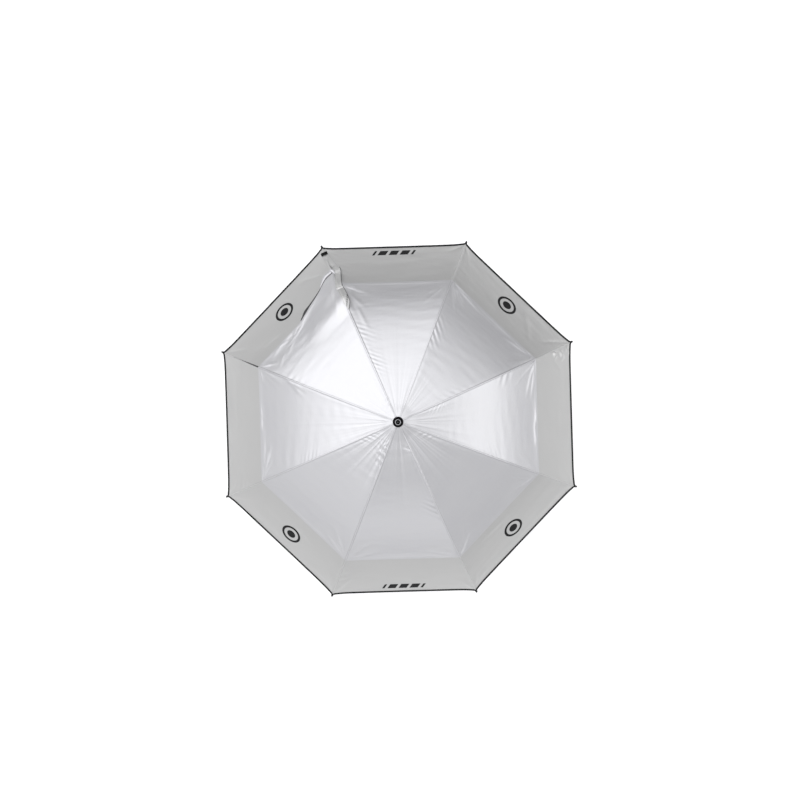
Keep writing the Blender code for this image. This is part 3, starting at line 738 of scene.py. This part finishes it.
def cloth_piece(name, points, normals, across, along, edge, end, hem, front, hem_finish):
    """A closed sheet from part of a gore's grid; hem is how much of its far edge has the hem's finish."""
    rows, columns = points.shape[:2]
    count = rows * columns
    outside = points.reshape(-1, 3)
    faced = normals.reshape(-1, 3)
    inside = outside - faced * THICKNESS
    index = np.arange(count).reshape(rows, columns)
    a, b = index[:-1, :-1].ravel(), index[1:, :-1].ravel()
    c, d = index[1:, 1:].ravel(), index[:-1, 1:].ravel()
    top = np.stack([a, b, c, d], axis=1)
    bottom = np.stack([a, d, c, b], axis=1) + count
    rim = []
    for line in (index[0, ::-1], index[-1, :], index[:, 0], index[::-1, -1]):
        rim.append(np.stack([line[1:], line[:-1], line[:-1] + count, line[1:] + count], axis=1))
    rim = np.concatenate(rim)[:, ::-1]
    faces = np.concatenate([top, bottom, rim])
    mesh = bpy.data.meshes.new(name)
    mesh.vertices.add(2 * count)
    mesh.vertices.foreach_set("co", np.concatenate([outside, inside]).ravel())
    mesh.loops.add(faces.size)
    mesh.loops.foreach_set("vertex_index", faces.ravel())
    mesh.polygons.add(len(faces))
    mesh.polygons.foreach_set("loop_start", np.arange(0, faces.size, 4))
    mesh.update(calc_edges=True)
    both = np.concatenate([faced, -faced])
    loops = both[faces.ravel()]
    corner = np.concatenate([outside, inside])[faces[len(top) * 2:]]
    flat = np.cross(corner[:, 2] - corner[:, 0], corner[:, 3] - corner[:, 1])
    flat /= np.linalg.norm(flat, axis=1, keepdims=True) + 1e-12
    loops[len(top) * 8:] = np.repeat(flat, 4, axis=0)
    along = along.ravel()
    cloth = np.stack([across.ravel(), along], axis=1)
    edges = np.stack([edge.ravel(), end - along], axis=1)
    for layer, values in (("cloth", cloth), ("edges", edges)):
        uv = mesh.uv_layers.new(name=layer)
        uv.data.foreach_set("uv", np.concatenate([values, values])[faces.ravel()].ravel())
    middle = (end - along)[faces % count].mean(axis=1)
    finish = np.where(np.arange(len(faces)) < len(top), 0, 1)
    mesh.polygons.foreach_set("material_index", np.where(middle < hem, 2, finish))
    for material in (front, LINING, hem_finish):
        mesh.materials.append(material)
    mesh.polygons.foreach_set("use_smooth", np.arange(len(faces)) < 2 * len(top))
    mesh.normals_split_custom_set(loops)
    return placed(name, mesh)


def flattening(rib, side, start, end, lift_at):
    """(axis, anchor) that bring half a gore onto its rib: across the gore, square to the rib's chord."""
    stations = np.array([start, end])
    radii, heights = lifted(stations, lift_at(stations))
    chord = Vector((radii[1] - radii[0], 0, heights[1] - heights[0])).normalized()
    across = Vector((-math.sin(HALF_GORE), side * math.cos(HALF_GORE), 0))
    axis = (across - across.dot(chord) * chord).normalized()
    mid = lifted((start + end) / 2, lift_at(np.array([(start + end) / 2]))[0])
    turn = rib_matrix(rib)
    return turn @ axis, turn @ Vector((float(mid[0]), 0, float(mid[1])))


def add_cloth(name, rib, side, grid, rows, stations, body, node, lift_at, hem, looks, end):
    """One half gore, riding on its rib."""
    middle = grid[0].shape[1] // 2
    columns = slice(0, middle + 1) if side > 0 else slice(middle, grid[0].shape[1])
    own = stations[rows[0]:rows[1]]
    part = [layer[rows[0]:rows[1], columns] for layer in grid]
    obj = cloth_piece(name, *part, end, hem, *looks)
    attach(obj, body)
    axis, anchor = flattening(rib, side, own[0], own[-1], lift_at)
    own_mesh(obj)
    if node:
        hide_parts(node)


def with_rows(start, end, step, extra):
    """Stations from start to end about step apart, with the extra ones among them."""
    even = np.linspace(start, end, round((end - start) / step) + 1)
    keep = [s for s in even if min(abs(s - e) for e in extra) > step * 0.3]
    return np.array(sorted(keep + list(extra)))


ROW_STEP = 0.0045
UPPER_ROWS = with_rows(UPPER_START, UPPER_END, ROW_STEP, (
    UPPER_START, FLEX_STATION, UPPER_END - HEM_BAND - 0.0008, UPPER_END - HEM_BAND, UPPER_END))
LOWER_ROWS = with_rows(LOWER_START, LOWER_END, ROW_STEP, (
    LOWER_START, LOWER_END - BINDING - 0.0006, LOWER_END - BINDING, LOWER_END))
FLEX_ROW = int(np.argmin(abs(UPPER_ROWS - FLEX_STATION)))
SKIRT_LOOKS = {1: SILVER_RING, 2: SILVER_BARS, 3: SILVER_RING, 5: SILVER_RING, 6: SILVER_BARS, 7: SILVER_RING}


def make_canopies():
    """Every gore's cloth; gives back the upper canopy's grids."""
    uppers = {}
    for gore in range(1, RIB_COUNT + 1):
        upper = gore_grid(gore, UPPER_ROWS, 32, upper_lift, upper_relief, upper_skew, upper_moves)
        lower = gore_grid(gore, LOWER_ROWS, 34, lower_lift, lower_relief, lower_skew, lower_moves)
        uppers[gore] = upper
        looks = (SILVER, LINING)
        skirt = (SKIRT_LOOKS.get(gore, SILVER_SKIRT), BINDING_TAPE)
        for side, rib in ((1, gore), (-1, gore % RIB_COUNT + 1)):
            tag = f"{rib}_{'a' if side > 0 else 'b'}"
            inner, outer = f"rib_inner_{rib}", f"rib_outer_{rib}"
            rows = (0, FLEX_ROW + 1)
            add_cloth(f"canopy_top_{tag}", rib, side, upper, rows, UPPER_ROWS, inner,
                      f"canopy_upper_{rib}", upper_lift, 0.0, looks, UPPER_END)
            rows = (FLEX_ROW, len(UPPER_ROWS))
            add_cloth(f"canopy_vent_{tag}", rib, side, upper, rows, UPPER_ROWS, outer,
                      None, upper_lift, 0.0, looks, UPPER_END)
            rows = (0, len(LOWER_ROWS))
            add_cloth(f"canopy_skirt_{tag}", rib, side, lower, rows, LOWER_ROWS, outer,
                      f"canopy_lower_{rib}", lower_lift, BINDING, skirt, LOWER_END)
    return uppers


# ---- closure strap, loose folds

ROLL_RADIUS = 0.0082
STRAP_HALF = 0.0118
STRAP_LIE = 0.0011
STRAP_ROWS = np.linspace(0.431, 0.756, 200)
# The strap's course: station, and how far it lies to the side of its rib
STRAP_COURSE = (
    (0.431, -0.0005), (0.44, -0.0025), (0.455, -0.005), (0.475, -0.0055), (0.506, -0.0045),
    (0.539, -0.001), (0.567, -0.0075), (0.6, -0.0165), (0.623, -0.02), (0.645, -0.0165),
    (0.675, -0.0105), (0.705, -0.005), (0.735, -0.0005), (0.756, 0.0),
)


def strap_bed(station, aside):
    """How far above the rib's line the strap lies: over the loose corner, then down onto the skirt."""
    reach = abs(aside) / math.cos(HALF_GORE)
    gore = STRAP_RIB if aside > 0 else STRAP_RIB - 1
    cloth = np.array([[station]])
    for _ in range(12):
        pull, rise = loose_corner(gore, np.array([[reach]]), cloth)
        cloth = np.array([[station]]) - pull
    at = float(cloth[0, 0])
    over = float(upper_lift(cloth)[0, 0] + rise[0, 0]) + 0.0006
    under = LOWER_LIFT + SEAM_RISE
    return under + (over - under) * float(1 - smooth((at - 0.56) / 0.026))


def beside_rib(rib, station, aside, lift):
    """A point above the cloth beside a rib; aside is positive on the side of that rib's own gore."""
    slope = float(rib_slope(station))
    further = station + abs(aside) * math.tan(HALF_GORE) / math.cos(slope)
    radius, height = lifted(further, lift)
    along = float(radius) - abs(aside) * math.tan(HALF_GORE)
    return rib_matrix(rib) @ Vector((along, aside, float(height)))


def strip(name, rib, rows, course, half, lift_at, looks, columns=9):
    """A narrow strip of cloth laid along a rib, riding on the rib's outer part."""
    points = np.zeros((len(rows), columns, 3))
    across = np.zeros((len(rows), columns))
    edge = np.zeros((len(rows), columns))
    for row, station in enumerate(rows):
        middle = course(station)
        width = half(station)
        for column in range(columns):
            share = 2 * column / (columns - 1) - 1
            aside = middle + share * width
            points[row, column] = beside_rib(rib, station, aside, lift_at(station, aside, share))
            across[row, column] = share * width
            edge[row, column] = width * (1 - abs(share))
    normals = unit(np.cross(np.gradient(points, axis=0), np.gradient(points, axis=1)))
    along = rows[:, None] + np.zeros_like(across)
    obj = cloth_piece(name, points, normals, across, along, edge, rows[-1], 0.0, *looks)
    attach(obj, f"rib_outer_{rib}")
    return obj


def strap_course(station):
    return float(softened(station, STRAP_COURSE, 0.007))


def tooth(station, start, length, height, fall):
    """A step up of that length, then a slow fall."""
    rise = float(smooth((station - start) / length))
    return height * rise * math.exp(-max(0.0, station - start - length) / fall)


def crumple(station, share):
    """Height of the strap's creases, never below its bed."""
    loose = float(smooth((station - 0.455) / 0.03) * (1 - smooth((station - 0.64) / 0.03)))
    slow = 1 + math.cos(2 * math.pi * station / 0.052 + 0.8 * share)
    fine = 1 + math.cos(2 * math.pi * (station + 0.002 * share * share) / 0.0086 - 1.3 * share)
    teeth = math.exp(-(((share - 0.6) / 0.4) ** 2)) * tooth(station, 0.646, 0.005, 0.0016, 0.02)
    teeth += tooth(station, 0.521, 0.005, 0.0028, 0.02)
    bevel = 0.93 * (share * strap_half(station) + 0.008) + 0.369 * (station - 0.467)
    turned = 0.0018 * float(smooth((bevel + 0.0005) / 0.0042)) * math.exp(-max(0.0, bevel - 0.0037) / 0.02)
    return loose * (0.0004 * slow + 0.0002 * fine) + teeth + turned


def strap_half(station):
    """Half the strap's width; its inner end comes to a blunt point."""
    return STRAP_HALF * (0.2 + 0.8 * float(smooth((station - 0.428) / 0.03)))


def strap_beds():
    """The height the strap lies at, row by row: on the highest cloth below it."""
    shares = (-1.0, -0.5, 0.0, 0.5, 1.0)
    beds = []
    for row in STRAP_ROWS:
        beds.append(max(strap_bed(row, strap_course(row) + share * strap_half(row)) for share in shares))
    padded = np.pad(beds, 5, mode="edge")
    return np.array([padded[row:row + 11].mean() for row in range(len(beds))])


def add_strap():
    """The closure strap, its black underside and the hook patch that fixes it near the tip."""
    beds = strap_beds()

    def strap_lift(station, _aside, share):
        tucked = float(smooth((station - 0.47) / 0.05) * (1 - smooth((station - 0.61) / 0.03)))
        fold_up = 0.0012 * float(smooth((-share - 0.6) / 0.4)) * tucked
        lie = STRAP_LIE - 0.0005 * float(smooth((station - 0.65) / 0.03))
        return float(np.interp(station, STRAP_ROWS, beds)) + lie + crumple(station, share) + fold_up

    strap = strip("closure_strap_band", STRAP_RIB, STRAP_ROWS, strap_course, strap_half,
                  strap_lift, (SILVER_SKIRT, LINING))
    under = strip(
        "closure_strap_lining", STRAP_RIB, STRAP_ROWS[:126], lambda s: strap_course(s) - 0.0018,
        lambda s: strap_half(s) + 0.0002, lambda s, a, h: strap_lift(s, a, h) - THICKNESS - 0.0003,
        (LINING, LINING))
    patch = strip(
        "closure_patch", STRAP_RIB, np.linspace(0.7245, 0.7405, 8), lambda _s: 0.001,
        lambda _s: 0.0122, lambda _s, _a, h: LOWER_LIFT + SEAM_RISE + STRAP_LIE + 0.0016 - 0.0005 * h**4,
        (HOOK_TAPE, LINING))
    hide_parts("closure_strap")
    for piece in (strap, under, patch):
        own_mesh(piece)


def add_pleat_shadow():
    """A thin black strip along rib 4's seam, from the vent's corner outwards: the lining of a pleat showing,
    and a painted shadow in the gap under the seam's fold.
    """
    rows = np.linspace(0.5625, 0.705, 40)
    # A black strip: lining, and painted shadow along the seam.
    pleat_shadow = strip(
        "seam_pleat", 4, rows, lambda _s: 0.0, lambda s: 0.0023 - 0.0019 * float(smooth((s - 0.57) / 0.12)),
        lambda _s, _a, h: LOWER_LIFT + SEAM_RISE + 0.0012 - 0.0004 * h * h, (LINING, LINING), 5)


def hem_run(points, columns):
    """Points along a canopy's hem from a rib inwards, and the way that its cloth leads out there."""
    hem = points[-1][columns]
    outwards = hem - points[-4][columns]
    return hem, unit(outwards)


def add_turned_hem(upper, beyond):
    """Where the loose corner's hem has rolled over: a black sheet that is its lining showing and also a
    painted shadow in the crease beside the roll, then the roll itself.
    """
    points, edge = upper[0], upper[4]
    own = slice(0, points.shape[1] // 2 + 1)
    hem, outwards = hem_run(points, own)
    reach = edge[-1, own]
    shows = (reach > 0.001) & (reach < 0.186)
    line, way, far = hem[shows], outwards[shows], reach[shows]
    width = 0.0036 + 0.008 * np.exp(-(((far - 0.15) / 0.022) ** 2))
    width = (width + 0.0022 * np.exp(-(((far - 0.105) / 0.03) ** 2))) * smooth((0.192 - far) / 0.014)
    shares = np.linspace(-0.3, 1.0, 6)
    sheet = line[:, None, :] + way[:, None, :] * (shares[None, :, None] * width[:, None, None])
    sheet[..., 2] -= 0.0006
    normals = unit(np.cross(np.gradient(sheet, axis=1), np.gradient(sheet, axis=0)))
    aside = np.repeat(shares[:, None], len(far), axis=1) * width[None, :]
    rim = np.repeat(far[None, :], len(shares), axis=0)
    # A black sheet: the hem's lining, and painted shade in the crease beside the roll.
    turned = cloth_piece("turned_hem", sheet.transpose(1, 0, 2), normals.transpose(1, 0, 2), rim, aside,
                         aside, 1.0, 0.0, LINING, LINING)
    other, other_way = hem_run(beyond[0], slice(-2, -len(NEAR_COLUMNS) - 1, -1))
    near_end = reach < 0.064
    path = np.concatenate([other[::-1], hem[near_end]])
    ways = np.concatenate([other_way[::-1], outwards[near_end]])
    spots = np.concatenate([-NEAR_COLUMNS[:0:-1], reach[near_end]])
    radii = ROLL_RADIUS * (1 - 0.8 * smooth((spots - 0.026) / 0.038))
    radii *= 0.4 + 0.6 * smooth((spots + 0.01) / 0.014)
    radii *= 1 + 0.1 * np.sin(spots * 520) + 0.07 * np.sin(spots * 1130 + 1.0)
    path = path + ways * (radii + 0.0034)[:, None]
    path[:, 2] -= 0.0004
    roll = swept("rolled_hem", [Vector(p) for p in path], 18, radii, flat=0.5)
    roll.data.materials.append(ROLLED)
    axis, anchor = flattening(STRAP_RIB, 1, UPPER_ROWS[FLEX_ROW], UPPER_END, upper_lift)
    for piece in (turned, roll):
        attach(piece, f"rib_outer_{STRAP_RIB}")
        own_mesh(piece)


# ---- sleeves, ties and the spring


def swept(name, path, sides, outer, inner=None, flat=1.0):
    """A tube or, with no inner radius, a rod along a path; flat squeezes its height."""
    wide = np.broadcast_to(outer, len(path))
    shape = bmesh.new()
    rings = []
    normal = Vector((0, 0, 1))
    for index, point in enumerate(path):
        after = path[min(index + 1, len(path) - 1)]
        before = path[max(index - 1, 0)]
        ahead = (after - before).normalized()
        normal = (normal - normal.dot(ahead) * ahead).normalized()
        aside = ahead.cross(normal)
        for radius in ((wide[index],) if inner is None else (wide[index], inner)):
            ring = []
            for side in range(sides):
                turn = 2 * math.pi * side / sides
                off = normal * (math.cos(turn) * flat) + aside * math.sin(turn)
                ring.append(shape.verts.new(point + off * float(radius)))
            rings.append(ring)
    layers = 1 if inner is None else 2
    pairs = []
    for layer in range(layers):
        own = rings[layer::layers]
        pairs += [(a, b, layer) for a, b in zip(own, own[1:])]
    if layers == 2:
        pairs += [(rings[1], rings[0], 0), (rings[-2], rings[-1], 0)]
    else:
        shape.faces.new(rings[0])
        shape.faces.new(rings[-1][::-1])
    for a, b, flip in pairs:
        for side in range(sides):
            other = (side + 1) % sides
            corners = (a[side], a[other], b[other], b[side])
            shape.faces.new(corners[::-1] if flip else corners)
    bmesh.ops.recalc_face_normals(shape, faces=shape.faces[:])
    mesh = bpy.data.meshes.new(name)
    shape.to_mesh(mesh)
    shape.free()
    mesh.shade_smooth()
    mesh.set_sharp_from_angle(angle=math.radians(50))
    return placed(name, mesh)


def on_line(rib, station):
    radius, height = lifted(station, 0.0)
    return rib_matrix(rib) @ Vector((float(radius), 0, float(height)))


SLEEVE_ENDS = (0.379, 0.409)
TIE_HALF = 0.0045
TIES = (("a", "rib_inner", 0.255), ("b", "rib_outer", 0.505), ("c", "rib_outer", 0.64))
# A tip cover's outline: station, radius
TIP_COVER = (
    (0.7675, 0.003), (0.769, 0.0044), (0.772, 0.005), (0.7755, 0.0046), (0.78, 0.004),
    (0.7835, 0.0037), (0.7862, 0.003), (0.7878, 0.0014),
)
CAP_RING_RADIUS, CAP_RING_WIRE, CAP_RING_DROP = 0.0084, 0.0017, 0.0085
SPRING_WIRE, SPRING_TURNS, SPRING_SIDES = 0.0005, 96, 12


def add_rib_fittings():
    """Shrink sleeves over the ribs' flexing points, and the loops that tie the cloth to the ribs."""
    for rib in range(1, RIB_COUNT + 1):
        path = [on_line(rib, s) for s in np.linspace(*SLEEVE_ENDS, 13)]
        sleeve = swept(f"flex_sleeve_{rib}", path, 14, 0.00255, 0.0019)
        sleeve.data.materials.append(SLEEVE)
        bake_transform(sleeve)
        for tag, body, station in TIES:
            path = [on_line(rib, s) for s in (station - TIE_HALF, station, station + TIE_HALF)]
            tie = swept(f"rib_tie_{rib}_{tag}", path, 12, 0.0025, 0.00192)
            tie.data.materials.append(LINING_PLAIN)
            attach(tie, f"{body}_{rib}")


def add_tip_covers():
    """The moulded ends that grip the hem's points over the rib tips."""
    stations, radii = zip(*TIP_COVER)
    for rib in range(1, RIB_COUNT + 1):
        cover = swept(f"tip_cover_{rib}", [on_line(rib, s) for s in stations], 14, radii)
        cover.data.materials.append(TIP_PLASTIC)
        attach(cover, f"rib_outer_{rib}")


def add_cap_ring():
    """A rounded bead round the cap's shoulder, in grey metal: a painted highlight for the shine of the glossy
    black cap.
    """
    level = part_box("ferrule_cap")[1].z - CAP_RING_DROP
    path = [round_point(CAP_RING_RADIUS, turn, level) for turn in np.linspace(0, 2 * np.pi, 49)]
    ring = swept("cap_ring", path, 14, CAP_RING_WIRE)
    ring.data.materials.append(PAINTED_SHINE_METAL)
    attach(ring, "root")


def add_spring():
    """The opening spring, a fine coil of many turns."""
    low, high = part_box("main_spring")
    radius = (high.x - low.x) / 2 - SPRING_WIRE
    count = SPRING_TURNS * SPRING_SIDES
    path = []
    for index in range(count + 1):
        turn = 2 * math.pi * index / SPRING_SIDES
        height = low.z + SPRING_WIRE + (high.z - low.z - 2 * SPRING_WIRE) * index / count
        path.append(round_point(radius, turn, height))
    spring = swept("opening_spring", path, 6, SPRING_WIRE)
    spring.data.materials.append(STEEL)
    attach(spring, "root")
    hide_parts("main_spring")
    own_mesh(spring)


upper_grids = make_canopies()
add_strap()
add_pleat_shadow()
add_turned_hem(upper_grids[STRAP_RIB], upper_grids[STRAP_RIB - 1])
add_rib_fittings()
add_tip_covers()
add_cap_ring()
add_spring()

# ---- CAD finishes

# The first of these that a node's name starts with
CAD_FINISHES = (
    (STEEL, ("notch_wire", "runner_wire", "spring_plunger", "main_spring")),
    (GLOSS, "ferrule_cap"),
    (SHAFT_BLACK, "shaft"),
    (PLASTIC, ("top_notch", "runner", "handle_collar")),
    (BUTTON_PLASTIC, "push_button"),
    (FOAM, "handle_grip"),
    (TIP_PLASTIC, "rib_tip"),
    (FIBREGLASS, ("rib_inner", "rib_outer", "stretcher")),
)
for node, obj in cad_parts.items():
    fitting = [finish for finish, starts in CAD_FINISHES if node.startswith(starts)]
    if fitting:
        obj.data.materials.clear()
        obj.data.materials.append(fitting[0])

# ---- stage, light, camera


def make_stage():
    """A white floor that can't be seen from below. Near the canopy it glows, a painted light that keeps it
    white over the canopy's shadow; further out it is painted darker, and darker towards +Y, a painted shade
    of the room that the canopy reflects.
    """
    mesh = bpy.data.meshes.new("floor")
    shape = bmesh.new()
    bmesh.ops.create_circle(shape, cap_ends=True, segments=96, radius=22.0)
    shape.to_mesh(mesh)
    shape.free()
    floor = placed("floor", mesh)
    floor.location.z = -0.0005
    mat = new_material("floor_white")
    place = mat.object_space()
    side, up = mat.parts(place)
    # Painted shade: the floor turns darker far out and towards +Y.
    far = mat.span(mat.length(side, up), 2.4, 7.0, 0.0, 1.0)
    near_tone = mat.mix(mat.noise(place, 0.6), (0.9, 0.9, 0.9), (0.93, 0.93, 0.93))
    tone = mat.mix(far, near_tone, mat.span(up, 0.0, 4.0, 0.48, 0.36))
    # Painted light: the near floor glows.
    glow = mat.span(far, 0.0, 1.0, 0.16, 0.0)
    mat.set(Base_Color=tone, Roughness=0.9, Emission_Color=(1, 1, 1, 1), Emission_Strength=glow)
    see_through = mat.add(
        "ShaderNodeMixShader", mat.add("ShaderNodeNewGeometry").outputs["Backfacing"],
        mat.shader.outputs[0], mat.add("ShaderNodeBsdfTransparent").outputs[0])
    mat.feed(mat.tree.nodes["Material Output"].inputs["Surface"], see_through.outputs[0])
    mesh.materials.append(mat.owner)


# Soft glows and shades of the room: azimuth, zenith angle, where each ends and is full (degrees), strength
WORLD_GLOWS = (
    (136, 33, 55, 12, 0.94), (116, 10, 32, 8, 0.54), (184, 30, 28, 8, 0.58), (6, 27, 20, 6, 0.2),
    (252, 68, 50, 6, 0.3), (48, 40, 36, 8, 0.2), (90, 54, 28, 8, 0.32), (271, 55, 26, 8, 0.24),
    (226, 60, 22, 6, 0.16), (316, 60, 20, 6, 0.12), (232, 27, 22, 6, -0.1), (284, 26, 28, 8, -0.14),
    (46, 22, 30, 10, 0.16), (134, 54, 24, 8, 0.62),
)


def soft_box(name, azimuth, zenith, distance, size, power):
    """An area light aimed at the canopy's middle, by its direction from there."""
    light = bpy.data.lights.new(name, "AREA")
    light.shape = "RECTANGLE"
    light.size, light.size_y = size
    light.energy = power
    obj = placed(name, light)
    away = direction(azimuth, zenith)
    obj.location = Vector((0, 0, 0.85)) + away * distance
    obj.rotation_mode = "QUATERNION"
    obj.rotation_quaternion = away.to_track_quat("Z", "Y")


def make_world():
    """A pale room: brighter to both sides, a little darker at the far end, with soft glows."""
    world = bpy.data.worlds.new("studio")
    bpy.context.scene.world = world
    room = Nodes(world)
    where = room.add("ShaderNodeTexCoord").outputs["Generated"]
    x, y, z = room.add("ShaderNodeSeparateXYZ", where).outputs
    low_down = room.math("POWER", room.minus(1.0, room.math("ABSOLUTE", z)), 4.0)
    far_end = room.times(room.math("MAXIMUM", y, 0.0), low_down)
    base = room.minus(room.plus(room.times(y, -0.12), 0.705), room.times(far_end, 0.44))
    total = room.plus(base, room.times(room.math("POWER", room.math("ABSOLUTE", x), 6.0), 0.45))
    for azimuth, zenith, wide, tight, height in WORLD_GLOWS:
        middle = tuple(direction(azimuth, zenith))
        dot = room.add("ShaderNodeVectorMath", where, middle, operation="DOT_PRODUCT")
        ends = (math.cos(math.radians(wide)), math.cos(math.radians(tight)))
        glow = room.add("ShaderNodeMapRange", dot.outputs["Value"], *ends, 0.0, height,
                        interpolation_type="SMOOTHSTEP")
        total = room.plus(total, glow.outputs[0])
    background = room.tree.nodes["Background"]
    room.feed(background.inputs["Strength"], total)
    background.inputs["Color"].default_value = (0.985, 0.985, 1.0, 1)


def make_camera():
    """High above, looking down the shaft from a little to one side."""
    data = bpy.data.cameras.new("camera")
    data.lens = 66.0
    data.sensor_width = 36.0
    camera = placed("camera", data)
    camera.location = (0.052, 0.138, 5.97)
    camera.rotation_euler = (-0.01268, 0.0091, 0.0)
    bpy.context.scene.camera = camera


make_stage()
make_world()
soft_box("box_left", 124, 55, 4.4, (2.5, 2.5), 6)
soft_box("box_right", 2, 49, 4.4, (2.6, 2.6), 28)
make_camera()
bpy.context.scene.view_settings.view_transform = "Standard"
